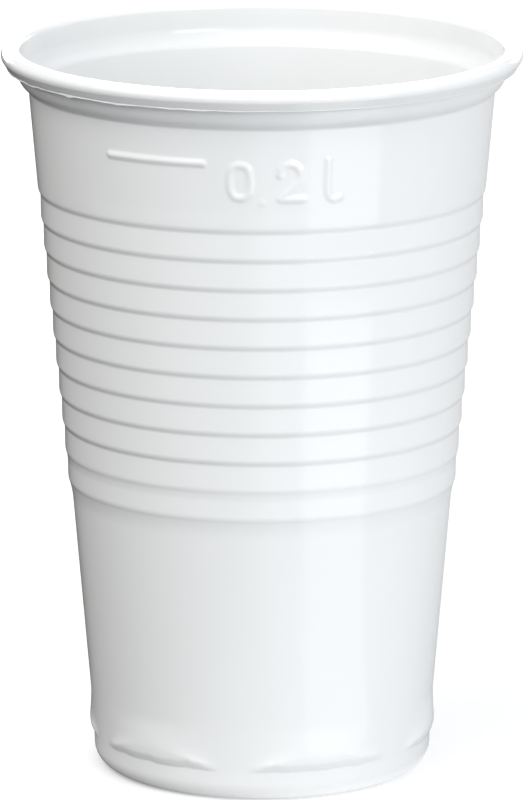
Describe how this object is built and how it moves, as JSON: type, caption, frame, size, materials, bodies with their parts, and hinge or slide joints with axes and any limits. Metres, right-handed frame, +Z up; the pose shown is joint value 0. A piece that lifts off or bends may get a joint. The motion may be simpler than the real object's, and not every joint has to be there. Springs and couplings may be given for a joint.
{
  "type": "disposable drinking cup",
  "caption": "White thin-walled plastic drinking cup with a rolled lip, stepped collar, raised fill line, stiffening rings and a foot with stacking lugs.",
  "frame": {"origin": "on the table, at the centre of the resting ring", "axes": "+Z up along the cup's axis, -Y towards the viewer of the fill line, +X to the viewer's right"},
  "size_m": [0.0702, 0.0702, 0.0994],
  "materials": {
    "white_plastic": "glossy drawn white polystyrene"
  },
  "bodies": {
    "root": {"cup": "white_plastic"}
  },
  "joints": []
}
